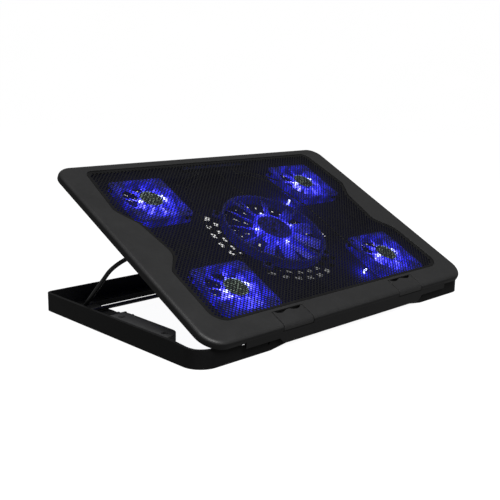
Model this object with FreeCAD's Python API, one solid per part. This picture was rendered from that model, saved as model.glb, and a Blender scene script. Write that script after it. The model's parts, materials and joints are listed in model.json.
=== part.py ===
# Laptop cooling pad with five fans: a tilting tray hinged at the front of a
# U-shaped base frame and held up by a bent wire prop.
# Units mm, +Z up, +X right, +Y to the rear. Origin: centre of the whole pad's
# footprint, on the floor. The tray is drawn flat in its own frame (u right,
# v back along the deck, w up from the deck's top face) and then tilted.
import FreeCAD, Part
import math, os

V = FreeCAD.Vector
os.makedirs("parts", exist_ok=True)

# ---------------------------------------------------------------- dimensions
TILT = 27.7                 # tray angle above the floor in the open position
TRAY_Y, TRAY_Z = -114.5, 26.4   # where the deck's (0, 0, 0) sits

# base frame
BASE_HW = 196.0             # half width over the side walls
BASE_Y0, BASE_Y1 = -112.9, 122.8
BASE_BOT = 0.8              # underside of the frame, standing on rubber feet
WALL_TOP = 19.0
WALL_T = 3.0
REAR_T = 2.5
R_FRONT, R_REAR = 19.0, 8.0
FLANGE_W, FLANGE_T = 15.0, 2.0
REAR_FLANGE_Y = 97.6
REAR_LIP_TOP = 5.4
EAR_IN = 113.6              # inner end of the front ears at the floor
EAR_TOP = 12.0
CORNER_TOP = 17.2
RACK_IN = 154.0
RACK_Y0, RACK_Y1 = 29.6, 97.6
RACK_FLOOR = 4.5
TOOTH_PITCH = 11.6
HINGE_Y, HINGE_Z = -110.0, 18.0
KNUCKLE_R = 4.5
HINGE_PIN_R = 1.6
KN_X0, KN_X1 = 127.0, 139.0     # base knuckle
REST_IN, REST_Y0, REST_Y1, REST_TOP, REST_T = 172.8, -64.8, 17.6, 17.6, 2.4

# tray
HW = 190.0
V_FRONT, V_REAR = -8.2, 254.0
R_TF, R_TR = 21.0, 18.0
RIM_T = 6.8                 # rim depth
SKIN = 2.2
CROWN = 4.6
RIDGE_R = 4.8
NOSE_HW = 149.0
NOSE_MID = 101.0           # half width of the nose's deeper middle part
NOSE_W, NOSE_V = -17.3, -12.5
PAN_HW, PAN_V0, PAN_V1, PAN_W = 150.5, 15.0, 226.6, -14.5
PAN_T = 1.6
MESH_TOP, MESH_T = -0.7, 0.8
MESH_PTS = [(160.5, 242.4, 9.0), (166.5, 177.0, 12.0), (152.8, 154.0, 16.0),
            (146.6, 106.0, 16.0), (163.6, 85.0, 12.0), (165.0, 15.0, 15.0)]
HOLE_R, HOLE_PX, HOLE_PV = 2.0, 8.0, 7.0

# fans
FAN_U, FAN_V_REAR, FAN_V_FRONT = 112.0, 192.3, 52.5
FAN_S, FAN_OPEN_R, FAN_TOP, FAN_BOT = 65.0, 30.0, -2.7, -12.7
ROTOR_R, HUB_R = 28.6, 12.5
CF_V, CF_R, CF_OPEN_R, CF_ROTOR_R, CF_HUB_R = 122.0, 57.5, 55.0, 53.5, 21.0
HUB_DISC_R, CF_DISC_R = 13.5, 22.5

# stoppers
ST_U0, ST_U1 = 66.0, 104.0
ST_V, ST_W = -3.4, -4.8     # stopper axis
ST_BACK = 11.0
ST_PIN_R = 1.0
GAP = 0.35
ST_SIDE = 0.8               # clearance at the stoppers' ends

# wire prop
WIRE_R = 2.0
PROP_V, PROP_W = 127.7, -12.7   # prop pivot on the tray
FOOT_Y, FOOT_Z = 72.5, 6.9      # cross bar centre, standing in its notch
ARM_X, BEND_R, BEND_TOP_R = 187.6, 14.0, 28.0

# ------------------------------------------------------------------- helpers
def box(x0, x1, y0, y1, z0, z1):
    return Part.makeBox(x1 - x0, y1 - y0, z1 - z0, V(x0, y0, z0))

def cyl(r, h, p, d=V(0, 0, 1)):
    return Part.makeCylinder(r, h, p, d)

def rounded(points, z=0.0):
    """Closed wire through points (x, y, r) with each corner rounded by r."""
    n = len(points)
    segs = []
    for i in range(n):
        p0, p, p1 = points[i - 1], points[i], points[(i + 1) % n]
        a = V(p0[0] - p[0], p0[1] - p[1], 0)
        b = V(p1[0] - p[0], p1[1] - p[1], 0)
        a.normalize(); b.normalize()
        ang = a.getAngle(b)
        r = p[2]
        c = V(p[0], p[1], 0)
        if r <= 0:
            segs.append((c, c, c)); continue
        t = r / math.tan(ang / 2.0)
        q0, q1 = c + a * t, c + b * t
        m = a + b; m.normalize()
        cen = c + m * (r / math.sin(ang / 2.0))
        mid = cen - m * r
        segs.append((q0, mid, q1))
    edges = []
    lift = V(0, 0, z)
    for i in range(n):
        q0, mid, q1 = segs[i]
        if (q0 - q1).Length > 1e-6:
            edges.append(Part.Arc(q0 + lift, mid + lift, q1 + lift).toShape())
        nx = segs[(i + 1) % n][0]
        if (q1 - nx).Length > 1e-6:
            edges.append(Part.LineSegment(q1 + lift, nx + lift).toShape())
    return Part.Wire(edges)

def slab(points, z0, z1):
    return Part.Face(rounded(points, z0)).extrude(V(0, 0, z1 - z0))

def offset_slab(points, d, z0, z1):
    w = rounded(points, z0).makeOffset2D(d)
    return Part.Face(w).extrude(V(0, 0, z1 - z0))

def prism_x(pts, x0, x1):
    """Polygon in the (y, z) plane pushed along x."""
    w = Part.makePolygon([V(x0, a, b) for a, b in pts] + [V(x0, pts[0][0], pts[0][1])])
    return Part.Face(w).extrude(V(x1 - x0, 0, 0))

def prism_y(pts, y0, y1):
    w = Part.makePolygon([V(a, y0, b) for a, b in pts] + [V(pts[0][0], y0, pts[0][1])])
    return Part.Face(w).extrude(V(0, y1 - y0, 0))

def both(s):
    return [s, s.mirror(V(0, 0, 0), V(1, 0, 0))]

def one(shapes):
    s = shapes[0]
    if len(shapes) > 1:
        s = s.fuse(shapes[1:])
    return s.removeSplitter()

def tray(s):
    s = s.copy()
    s.rotate(V(0, 0, 0), V(1, 0, 0), TILT)
    s.translate(V(0, TRAY_Y, TRAY_Z))
    return s

def save(name, shape):
    shape.exportStep("parts/%s.step" % name)

def group(shapes):
    return Part.makeCompound(shapes)

def bend(c0, c1, c2, r):
    """Rounded corner at c1 between the directions to c0 and c2: start, mid, end."""
    a = (c0 - c1); a.normalize(); b = (c2 - c1); b.normalize()
    ang = a.getAngle(b)
    t = r / math.tan(ang / 2.0)
    m = a + b; m.normalize()
    cen = c1 + m * (r / math.sin(ang / 2.0))
    return c1 + a * t, cen - m * r, c1 + b * t

def bent_rod(pts, bend_r, r):
    """Round rod of radius r along straight runs joined by bends."""
    radii = bend_r if isinstance(bend_r, (list, tuple)) else [bend_r] * len(pts)
    edges = []
    cur = pts[0]
    for i in range(1, len(pts) - 1):
        s0, m0, e0 = bend(pts[i - 1], pts[i], pts[i + 1], radii[i - 1])
        if (s0 - cur).Length > 1e-6:
            edges.append(Part.LineSegment(cur, s0).toShape())
        edges.append(Part.Arc(s0, m0, e0).toShape())
        cur = e0
    edges.append(Part.LineSegment(cur, pts[-1]).toShape())
    c = Part.Wire([Part.makeCircle(r, pts[0], pts[1] - pts[0])])
    return Part.Wire(edges).makePipeShell([c], True, False)

def t2w(v, w):
    a = math.radians(TILT)
    return (TRAY_Y + v * math.cos(a) - w * math.sin(a),
            TRAY_Z + v * math.sin(a) + w * math.cos(a))

# ---------------------------------------------------------------- base frame
outer = [(-BASE_HW, BASE_Y0, R_FRONT), (BASE_HW, BASE_Y0, R_FRONT),
         (BASE_HW, BASE_Y1, R_REAR), (-BASE_HW, BASE_Y1, R_REAR)]
inner = [(-BASE_HW + WALL_T, BASE_Y0 + WALL_T, R_FRONT - WALL_T),
         (BASE_HW - WALL_T, BASE_Y0 + WALL_T, R_FRONT - WALL_T),
         (BASE_HW - WALL_T, BASE_Y1 - REAR_T, R_REAR - REAR_T),
         (-BASE_HW + WALL_T, BASE_Y1 - REAR_T, R_REAR - REAR_T)]
hole = [(-BASE_HW + WALL_T + FLANGE_W, BASE_Y0 + 9.0, 8.0),
        (BASE_HW - WALL_T - FLANGE_W, BASE_Y0 + 9.0, 8.0),
        (BASE_HW - WALL_T - FLANGE_W, REAR_FLANGE_Y, 3.0),
        (-BASE_HW + WALL_T + FLANGE_W, REAR_FLANGE_Y, 3.0)]
walls = slab(outer, BASE_BOT, WALL_TOP).cut(slab(inner, BASE_BOT - 1, WALL_TOP + 1))
floor_ = slab(inner, BASE_BOT, BASE_BOT + FLANGE_T).cut(slab(hole, BASE_BOT - 1, BASE_BOT + FLANGE_T + 1))
frame = walls.fuse(floor_)
# the front is open between the two ears, whose inner ends are chamfered
frame = frame.cut(prism_y([(-EAR_IN, -5), (-EAR_IN, BASE_BOT), (-EAR_IN + 21, 3.6), (-EAR_IN + 27, 9.0),
                           (-EAR_IN + 27, 40), (EAR_IN - 27, 40), (EAR_IN - 27, 9.0), (EAR_IN - 21, 3.6),
                           (EAR_IN, BASE_BOT), (EAR_IN, -5)], BASE_Y0 - 5, BASE_Y0 + 12))
for s in (-1, 1):
    frame = frame.cut(cyl(1.4, 1.6, V(s * 116.0, BASE_Y0 - 0.2, 8.2), V(0, 1, 0)))
# the ears are lower behind the tray's nose and a little lower round the corners
frame = frame.cut(box(-148.0, 148.0, BASE_Y0 - 5, BASE_Y0 + 12, EAR_TOP, 40))
frame = frame.cut(box(-176, 176, BASE_Y0 - 5, BASE_Y0 + 12, CORNER_TOP, 40))
frame = frame.cut(prism_x([(BASE_Y0 - 5, CORNER_TOP), (BASE_Y0 + 10, CORNER_TOP), (BASE_Y0 + 34, WALL_TOP),
                           (BASE_Y0 + 34, 40), (BASE_Y0 - 5, 40)], -BASE_HW - 1, BASE_HW + 1))
# the rear wall dips where the tray's switch housing comes down
frame = frame.cut(box(-46.0, 56.0, BASE_Y1 - REAR_T - 1, BASE_Y1 + 1, 14.4, 40))
bits = [frame]
# inner upstand of the rear rail
bits.append(box(-BASE_HW + WALL_T, BASE_HW - WALL_T, REAR_FLANGE_Y, REAR_FLANGE_Y + 2.2, BASE_BOT, REAR_LIP_TOP))
# stiffening ribs across the rear rail
for i in range(-3, 4):
    bits.append(box(i * 44.0 - 0.9, i * 44.0 + 0.9, REAR_FLANGE_Y, BASE_Y1 - REAR_T + 0.5, BASE_BOT, 4.6))
# hinge posts and knuckles on the ears
for s in (-1, 1):
    x0, x1 = (KN_X0, KN_X1) if s > 0 else (-KN_X1, -KN_X0)
    bits.append(cyl(KNUCKLE_R, KN_X1 - KN_X0, V(x0, HINGE_Y, HINGE_Z), V(1, 0, 0)))
    bits.append(box(x0, x1, BASE_Y0 + 0.4, BASE_Y0 + 5.4, BASE_BOT, HINGE_Z))
# bosses that carry the side rest plates
screw_xy = [(184.4, -54.8), (184.4, 7.1)]
for s in (-1, 1):
    for x, y in screw_xy:
        bits.append(cyl(4.2, REST_TOP - REST_T - BASE_BOT, V(s * x, y, BASE_BOT)))
        bits.append(box(min(s * x, s * 193.5), max(s * x, s * 193.5), y - 1.2, y + 1.2, BASE_BOT, REST_TOP - REST_T))

# height of the wire's underside over the rack, used to crown the teeth
PROP_RATIO = 2.617

def wire_path():
    pv = t2w(PROP_V, PROP_W)
    L = math.hypot(FOOT_Y - pv[0], FOOT_Z - pv[1])
    psi0 = math.atan2(pv[1] - FOOT_Z, FOOT_Y - pv[0])
    R = math.hypot(pv[0] - HINGE_Y, pv[1] - HINGE_Z)
    a0 = math.atan2(pv[1] - HINGE_Z, pv[0] - HINGE_Y)
    out = []
    for i in range(-112, 560):
        t = math.radians(i * 0.05)
        py, pz = HINGE_Y + R * math.cos(a0 - t), HINGE_Z + R * math.sin(a0 - t)
        ps = psi0 - (PROP_RATIO - 1.0) * t
        out.append((py + L * math.cos(ps), pz - L * math.sin(ps)))
    return out
path = wire_path()

def clear_height(y, dy=0.0):
    h = 99.0
    for cy, cz in path:
        d = abs(cy - y)
        if d <= WIRE_R + dy:
            d = max(0.0, d - dy)
            h = min(h, cz - math.sqrt(max(0.0, (WIRE_R + 0.35) ** 2 - min(d, WIRE_R + 0.35) ** 2)))
    return h

# notch rack on each side rail: a block with a row of low crossways teeth
teeth_y = [FOOT_Y + TOOTH_PITCH * (i + 0.5) for i in range(-4, 3)]
prof = [(RACK_Y0, BASE_BOT), (RACK_Y0, RACK_FLOOR)]
for y in teeth_y:
    crest = min(clear_height(y, 1.0), 8.4)
    prof += [(y - 4.6, RACK_FLOOR), (y - 0.9, crest), (y + 0.9, crest), (y + 3.2, RACK_FLOOR)]
prof += [(RACK_Y1 + 1.0, RACK_FLOOR), (RACK_Y1 + 1.0, BASE_BOT)]
rack = prism_x(prof, RACK_IN, BASE_HW - WALL_T + 0.5)
bits += both(rack)
base_frame = one(bits)
for s in (-1, 1):
    x0 = KN_X0 if s > 0 else -KN_X1
    base_frame = base_frame.cut(cyl(HINGE_PIN_R, KN_X1 - KN_X0 + 2, V(x0 - 1, HINGE_Y, HINGE_Z), V(1, 0, 0)))
    for x, y in screw_xy:
        base_frame = base_frame.cut(cyl(1.25, 9, V(s * x, y, REST_TOP - REST_T - 7)))
# pockets for the rubber feet
feet_xy = [(185.0, -86.0), (184.0, 20.0), (184.0, 108.5)]
for s in (-1, 1):
    for x, y in feet_xy[:3]:
        base_frame = base_frame.cut(cyl(4.5, 0.8, V(s * x, y, BASE_BOT - 0.1)))
save("base_frame", base_frame)

# side rest plates: round-ended plates screwed on the bosses
plate = slab([(REST_IN, REST_Y0, 13.5), (BASE_HW - WALL_T - 0.1, REST_Y0, 0.5),
              (BASE_HW - WALL_T - 0.1, REST_Y1, 0.5), (REST_IN, REST_Y1, 5.0)], REST_TOP - REST_T, REST_TOP)
for x, y in screw_xy:
    plate = plate.cut(cyl(1.6, 9, V(x, y, REST_TOP - 5)))
    plate = plate.cut(cyl(3.2, 1.0, V(x, y, REST_TOP - 0.9)))
# a skirt hangs down from the plate's inner edge
edge_ = [(REST_IN, REST_Y0, 13.5), (BASE_HW - WALL_T - 0.1, REST_Y0, 0.5),
         (BASE_HW - WALL_T - 0.1, REST_Y1, 0.5), (REST_IN, REST_Y1, 5.0)]
skirt = slab(edge_, REST_TOP - 7.0, REST_TOP - REST_T + 0.2).cut(offset_slab(edge_, -1.8, REST_TOP - 8.0, REST_TOP))
skirt = skirt.cut(box(BASE_HW - WALL_T - 8.0, BASE_HW, REST_Y0 - 5, REST_Y1 + 5, 0, REST_TOP - REST_T))
plate = plate.fuse(skirt).removeSplitter()
save("side_rest_plates", group(both(plate)))

def screw(x, y, top, head_r, head_h, shank_r, shank_l, down=True):
    """Pan-head screw, axis along z, cross recess in the head."""
    s = cyl(head_r, head_h, V(x, y, top - head_h)).fuse(cyl(shank_r, shank_l, V(x, y, top - head_h - shank_l)))
    c = box(x - head_r * 0.6, x + head_r * 0.6, y - 0.25, y + 0.25, top - head_h * 0.6, top + 1)
    c = c.fuse(box(x - 0.25, x + 0.25, y - head_r * 0.6, y + head_r * 0.6, top - head_h * 0.6, top + 1))
    return s.cut(c)

rs = []
for x, y in screw_xy:
    rs += both(screw(x, y, REST_TOP - 0.1, 2.8, 0.8, 1.25, 6.0))
save("rest_plate_screws", group(rs))

ff = []
for s in (-1, 1):
    for x, y in feet_xy[:3]:
        ff.append(cyl(4.5, 1.5, V(s * x, y, 0.0)))
save("rubber_feet", group(ff))

pins = []
for s in (-1, 1):
    x0 = KN_X0 - 8.0 if s > 0 else -KN_X1 - 8.0
    pins.append(cyl(HINGE_PIN_R, KN_X1 - KN_X0 + 16.0, V(x0, HINGE_Y, HINGE_Z), V(1, 0, 0)))
save("hinge_pins", group(pins))

# ----------------------------------------------------------------- top cover
plan = [(-HW, V_FRONT, R_TF), (HW, V_FRONT, R_TF), (HW, V_REAR, R_TR), (-HW, V_REAR, R_TR)]
body = slab(plan, -RIM_T, 0)
edges = [e for e in body.Edges if abs(e.BoundBox.ZMin) < 1e-6 and abs(e.BoundBox.ZMax) < 1e-6]
body = body.makeFillet(CROWN, edges)
# nose: the front edge rolls over and runs down and forward as a lip
lip = prism_x([(ST_V, 0), (ST_V - 1.3, -0.18), (ST_V - 2.4, -0.65), (ST_V - 3.4, -1.41), (ST_V - 4.15, -2.4),
               (ST_V - 4.62, -3.55), (V_FRONT, ST_W), (NOSE_V, NOSE_W + 1.2), (NOSE_V + 0.5, NOSE_W),
               (NOSE_V + 2.0, NOSE_W), (V_FRONT + 2.2, ST_W - 1.0), (ST_V + 1, -SKIN)], -NOSE_HW, NOSE_HW)
# the lip is shallower in front of the base's ears, with sloping ends to its deep middle
for s in (-1, 1):
    pts = [(s * NOSE_MID, NOSE_W - 3), (s * NOSE_MID, NOSE_W), (s * (NOSE_MID + 7.0), NOSE_W + 6.4),
           (s * (NOSE_HW + 5), NOSE_W + 6.4), (s * (NOSE_HW + 5), NOSE_W - 3)]
    lip = lip.cut(prism_y(pts if s > 0 else pts[::-1], NOSE_V - 5, V_FRONT + 5))
body = body.fuse(lip)
# hollow under the deck
inner_plan = [(-HW + SKIN, V_FRONT + SKIN, R_TF - SKIN), (HW - SKIN, V_FRONT + SKIN, R_TF - SKIN),
              (HW - SKIN, V_REAR - SKIN, R_TR - SKIN), (-HW + SKIN, V_REAR - SKIN, R_TR - SKIN)]
body = body.cut(slab(inner_plan, -RIM_T - 12, -SKIN))
body = body.removeSplitter()

mesh_outline = [(-x, y, r) for x, y, r in MESH_PTS[::-1]]
mesh_loop = [(x, y, r) for x, y, r in MESH_PTS] + mesh_outline
seat = offset_slab(mesh_loop, 0.45, MESH_TOP - MESH_T, 1.0)
through = offset_slab(mesh_loop, -3.0, -RIM_T - 1, 1.0)
body = body.cut(seat).cut(through)

# pockets for the two stoppers, with a cradle round each knuckle
adds, cuts = [], []
for s in (-1, 1):
    u0, u1 = (ST_U0, ST_U1) if s > 0 else (-ST_U1, -ST_U0)
    cradle = cyl(RIDGE_R + GAP + 1.5, u1 - u0 + 2 * ST_SIDE + 3.0, V(u0 - ST_SIDE - 1.5, ST_V, ST_W), V(1, 0, 0))
    cradle = cradle.common(prism_x([(ST_V + 9, 0), (ST_V, 0), (V_FRONT, ST_W), (V_FRONT - 3.5, -15), (ST_V + 9, -15)],
                                   u0 - ST_SIDE - 1.5, u1 + ST_SIDE + 1.5))
    adds.append(cradle)
    adds.append(box(u0 - ST_SIDE - 1.5, u1 + ST_SIDE + 1.5, ST_V, ST_BACK + 2.2, -4.9, -SKIN + 0.2))
    cuts.append(cyl(RIDGE_R + GAP, u1 - u0 + 2 * ST_SIDE, V(u0 - ST_SIDE, ST_V, ST_W), V(1, 0, 0)))
    cuts.append(box(u0 - ST_SIDE, u1 + ST_SIDE, ST_V, ST_BACK + 0.6, -3.4, 1.0))
    cuts.append(box(u0 - ST_SIDE, u1 + ST_SIDE, ST_V - 8, ST_V, ST_W, 1.0))
body = body.fuse(adds)
for c in cuts:
    body = body.cut(c)
for s in (-1, 1):
    u0 = ST_U0 if s > 0 else -ST_U1
    body = body.cut(cyl(ST_PIN_R, ST_U1 - ST_U0 + 2 * ST_SIDE + 3.0, V(u0 - 1.5 - ST_SIDE, ST_V, ST_W), V(1, 0, 0)))

# tray knuckles either side of the base knuckles, on ribs under the deck
def w2t(y, z):
    a = math.radians(TILT)
    dy, dz = y - TRAY_Y, z - TRAY_Z
    return dy * math.cos(a) + dz * math.sin(a), -dy * math.sin(a) + dz * math.cos(a)
hv, hw = w2t(HINGE_Y, HINGE_Z)
kn = []
for s in (-1, 1):
    for a, b in ((KN_X0 - 7.4, KN_X0 - 0.4), (KN_X1 + 0.4, KN_X1 + 7.4)):
        x0, x1 = (a, b) if s > 0 else (-b, -a)
        k = cyl(KNUCKLE_R, x1 - x0, V(x0, hv, hw), V(1, 0, 0))
        k = k.fuse(box(x0, x1, hv - 3.6, hv + 4.4, hw, -SKIN + 0.3))
        k = k.cut(cyl(HINGE_PIN_R + 0.05, x1 - x0 + 2, V(x0 - 1, hv, hw), V(1, 0, 0)))
        kn.append(k)
body = body.fuse(kn)
# screw posts under the rim
POSTS = [(176.5, 60), (168.5, 128), (176.5, 200), (120, 245.6), (60, 245.6)]
posts = []
for u, v in POSTS:
    for s in (-1, 1):
        posts.append(cyl(2.6, 5.4 - SKIN + 0.2, V(s * u, v, -5.4)))
body = body.fuse(posts)
for u, v in POSTS:
    for s in (-1, 1):
        body = body.cut(cyl(1.1, 3.0, V(s * u, v, -5.5)))
# openings in the rear skirt for the sockets and switches
for u0, u1 in ((-33.5, -19.5), (-7.5, 6.5)):
    body = body.cut(box(u0, u1, V_REAR - 6, V_REAR + 2, -RIM_T - 1, -3.7))
for u0, u1 in ((18.0, 28.0), (36.0, 46.0)):
    body = body.cut(box(u0, u1, V_REAR - 6, V_REAR + 2, -RIM_T - 1, -4.6))
top_cover = body.removeSplitter()
save("top_cover", tray(top_cover))

# ---------------------------------------------------------------- mesh panel
wires = []
w_out = rounded(mesh_loop, MESH_TOP - MESH_T)
inner_loop = rounded(mesh_loop, MESH_TOP - MESH_T).makeOffset2D(-HOLE_R - 2.6)
inner_face = Part.Face(inner_loop)
holes = []
nv = int(230 / HOLE_PV)
row = 0
v = 15.0 + 6.0
while v < 242:
    off = HOLE_PX / 2.0 if row % 2 else 0.0
    u = -168.0 + off
    while u < 168.0:
        p = V(u, v, MESH_TOP - MESH_T)
        if inner_face.isInside(p, 1e-4, True):
            holes.append(Part.Wire([Part.makeCircle(HOLE_R, p)]))
        u += HOLE_PX
    v += HOLE_PV
    row += 1
mf = Part.makeFace([w_out] + holes, "Part::FaceMakerBullseye")
mesh_panel = mf.extrude(V(0, 0, MESH_T))
save("mesh_panel", tray(mesh_panel))

# -------------------------------------------------------------- bottom cover
g = SKIN + 0.15
bplan = [(-HW + g, V_FRONT + g, R_TF - g), (HW - g, V_FRONT + g, R_TF - g),
         (HW - g, V_REAR - g, R_TR - g), (-HW + g, V_REAR - g, R_TR - g)]
bottom = slab(bplan, -RIM_T, -RIM_T + 1.4)
bottom = bottom.cut(box(-NOSE_HW - 3, NOSE_HW + 3, V_FRONT - 5, PAN_V0 - 0.0, -RIM_T - 1, 0))
pan_out = [(-PAN_HW, PAN_V0, 8), (PAN_HW, PAN_V0, 8), (PAN_HW, PAN_V1, 8), (-PAN_HW, PAN_V1, 8)]
pan_in = [(-PAN_HW + PAN_T, PAN_V0 + PAN_T, 6.4), (PAN_HW - PAN_T, PAN_V0 + PAN_T, 6.4),
          (PAN_HW - PAN_T, PAN_V1 - PAN_T, 6.4), (-PAN_HW + PAN_T, PAN_V1 - PAN_T, 6.4)]
# housing of the sockets, behind the base's rear rail when the tray is down
box_out = [(-42.0, PAN_V1 + 5.4, 2.0), (52.0, PAN_V1 + 5.4, 2.0), (52.0, V_REAR - g, 2.0), (-42.0, V_REAR - g, 2.0)]
box_in = [(-40.6, PAN_V1 + 6.8, 1.0), (50.6, PAN_V1 + 6.8, 1.0), (50.6, V_REAR - g - 1.4, 1.0), (-40.6, V_REAR - g - 1.4, 1.0)]
HOUS_W = -12.2
bottom = bottom.fuse(slab(pan_out, PAN_W, -RIM_T + 1.4)).fuse(slab(box_out, HOUS_W, -RIM_T + 1.4))
bottom = bottom.cut(slab(pan_in, PAN_W + PAN_T, 1)).cut(slab(box_in, HOUS_W + 1.4, 1))
# sockets for the ends of the wire prop, outside the pan on each side
SOCK_U0, SOCK_U1 = 151.5, 159.4
for s in (-1, 1):
    x0, x1 = (SOCK_U0, SOCK_U1) if s > 0 else (-SOCK_U1, -SOCK_U0)
    blk = box(x0, x1, PROP_V - 4.6, PROP_V + 4.6, PROP_W, -RIM_T + 0.2)
    blk = blk.fuse(cyl(4.0, x1 - x0, V(x0, PROP_V, PROP_W), V(1, 0, 0)))
    bottom = bottom.fuse(blk)
    bottom = bottom.cut(cyl(WIRE_R + 0.06, 30, V(x0 - 10 if s > 0 else x0 - 10, PROP_V, PROP_W), V(1, 0, 0)).common(
        box(x0 - 0.5, x1 + 0.5, -50, 300, -30, 10)))
# openings in the housing's rear wall
bottom = bottom.cut(box(-33.5, -19.5, V_REAR - g - 3, V_REAR, -10.6, -4.2))
bottom = bottom.cut(box(-7.5, 6.5, V_REAR - g - 3, V_REAR, -10.6, -4.2))
bottom = bottom.cut(box(18.0, 28.0, V_REAR - g - 3, V_REAR, -8.6, -4.6))
bottom = bottom.cut(box(36.0, 46.0, V_REAR - g - 3, V_REAR, -8.6, -4.6))
# air slots in rings under each fan
def ring_slots(cu, cv, rings, arcs=None):
    """Air slots in rings; arcs, if given, are the only spans of angle that have them."""
    out = []
    for r0, r1, n, duty, ph in rings:
        for i in range(n):
            mid = (ph + 360.0 * (i + duty / 2) / n) % 360.0
            if arcs and not any(a <= mid <= b or a <= mid - 360.0 <= b for a, b in arcs):
                continue
            a0 = math.radians(ph + 360.0 * i / n)
            a1 = a0 + math.radians(360.0 / n * duty)
            am = (a0 + a1) / 2
            def q(r, a):
                return V(cu + r * math.cos(a), cv + r * math.sin(a), PAN_W - 1)
            e = [Part.Arc(q(r0, a0), q(r0, am), q(r0, a1)).toShape(),
                 Part.LineSegment(q(r0, a1), q(r1, a1)).toShape(),
                 Part.Arc(q(r1, a1), q(r1, am), q(r1, a0)).toShape(),
                 Part.LineSegment(q(r1, a0), q(r0, a0)).toShape()]
            out.append(Part.Face(Part.Wire(e)).extrude(V(0, 0, 5)))
    return out
slots = []
for cu in (-FAN_U, FAN_U):
    for cv in (FAN_V_FRONT, FAN_V_REAR):
        slots += ring_slots(cu, cv, [(16.0, 21.0, 14, 0.40, 0), (24.0, 29.6, 20, 0.46, 5)])
slots += ring_slots(0, CF_V, [(25.5, 32.0, 18, 0.34, 0), (36.0, 42.5, 24, 0.34, 4), (46.5, 52.5, 32, 0.36, 0)])
slots += ring_slots(0, CF_V, [(58.6, 64.0, 30, 0.60, 3.4), (67.4, 73.4, 30, 0.62, -2.6)],
                    [(-20, 38), (142, 200), (225, 315)])
bottom = bottom.cut(group(slots))
for u, v in POSTS:
    for s in (-1, 1):
        bottom = bottom.cut(cyl(1.4, 4, V(s * u, v, -RIM_T - 1)))
        bottom = bottom.cut(cyl(2.5, 0.7, V(s * u, v, -RIM_T - 0.1)))
bottom_cover = bottom.removeSplitter()
save("bottom_cover", tray(bottom_cover))

# cover screws, heads sunk in the bottom cover, pointing up into the posts
cs = []
for u, v in POSTS:
    for s in (-1, 1):
        h = cyl(2.2, 0.55, V(s * u, v, -RIM_T + 0.05)).fuse(cyl(1.1, 3.2, V(s * u, v, -RIM_T + 0.6)))
        c = box(s * u - 1.4, s * u + 1.4, v - 0.25, v + 0.25, -RIM_T - 0.5, -RIM_T + 0.3)
        c = c.fuse(box(s * u - 0.25, s * u + 0.25, v - 1.4, v + 1.4, -RIM_T - 0.5, -RIM_T + 0.3))
        cs.append(h.cut(c))
save("cover_screws", tray(group(cs)))

# ---------------------------------------------------------------------- fans
def small_frame():
    h = FAN_S / 2.0
    pl = [(-h, -h, 5), (h, -h, 5), (h, h, 5), (-h, h, 5)]
    s = slab(pl, FAN_BOT, FAN_TOP).cut(cyl(FAN_OPEN_R, 12, V(0, 0, FAN_BOT - 1)))
    # corners are hollowed between two flanges
    for sx in (-1, 1):
        for sy in (-1, 1):
            pocket = box(min(sx * 20, sx * 40), max(sx * 20, sx * 40), min(sy * 20, sy * 40), max(sy * 20, sy * 40),
                         FAN_BOT + 1.6, FAN_TOP - 1.6).cut(cyl(FAN_OPEN_R + 1.5, 12, V(0, 0, FAN_BOT - 1)))
            s = s.cut(pocket)
            s = s.cut(cyl(1.9, 12, V(sx * 28.0, sy * 28.0, FAN_BOT - 1)))
    hub = cyl(HUB_DISC_R, 1.4, V(0, 0, FAN_TOP - 1.4))
    hub = hub.cut(cyl(HUB_DISC_R - 1.6, 1.0, V(0, 0, FAN_TOP - 0.3)))
    arms = []
    for k in range(4):
        a = box(HUB_DISC_R - 1.2, FAN_OPEN_R + 0.6, -1.4, 1.4, FAN_TOP - 1.4, FAN_TOP)
        a.rotate(V(0, 0, 0), V(0, 0, 1), 45 + 90 * k)
        arms.append(a)
    return one([s, hub] + arms)

def blade(r0, r1, z0, z1, a0, a1, t):
    """Twisted blade lofted from root to tip, swept by the angles a0, a1."""
    ws = []
    for r, pitch in ((r0, a0), ((r0 + r1) / 2, (a0 + a1) / 2), (r1, a1)):
        h = (z1 - z0)
        dx = h / math.tan(math.radians(pitch))
        zc = (z0 + z1) / 2
        c, s_ = math.cos(math.radians(pitch)), math.sin(math.radians(pitch))
        # section in the plane at radius r: a thin parallelogram
        p = [(-dx / 2, -h / 2), (-dx / 2 + t / s_, -h / 2), (dx / 2 + t / s_, h / 2), (dx / 2, h / 2)]
        sweep = (r - r0) * 0.16
        ws.append(Part.makePolygon([V(r, a + sweep, zc + b) for a, b in p] + [V(r, p[0][0] + sweep, zc + p[0][1])]))
    return Part.makeLoft(ws, True, True)

def rotor(rr, hr, n, z0, z1, bore=1.55):
    hub = cyl(hr, z1 - z0, V(0, 0, z0))
    try:
        top = [e for e in hub.Edges if abs(e.BoundBox.ZMin - z1) < 1e-6 and abs(e.BoundBox.ZMax - z1) < 1e-6]
        hub = hub.makeFillet(1.2, top)
    except Exception:
        pass
    hub = hub.cut(cyl(hr - 1.2, z1 - z0 - 1.2, V(0, 0, z0)))
    hub = hub.fuse(cyl(1.5, z1 - z0 - 1.2 + 0.2, V(0, 0, z0)))
    b = blade(hr - 0.7, rr, z0 + 0.5, z1 - 0.6, 42, 30, 1.0)
    # keep the tips inside the swept circle
    b = b.common(cyl(rr, 20, V(0, 0, z0 - 5)))
    bl = []
    for k in range(n):
        c = b.copy(); c.rotate(V(0, 0, 0), V(0, 0, 1), 360.0 * k / n)
        bl.append(c)
    s = hub.fuse(bl)
    s = s.cut(cyl(hr - 1.2, z1 - z0 - 1.3, V(0, 0, z0 - 0.1)).cut(cyl(1.5, 20, V(0, 0, z0 - 5))))
    return s.removeSplitter()

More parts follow.
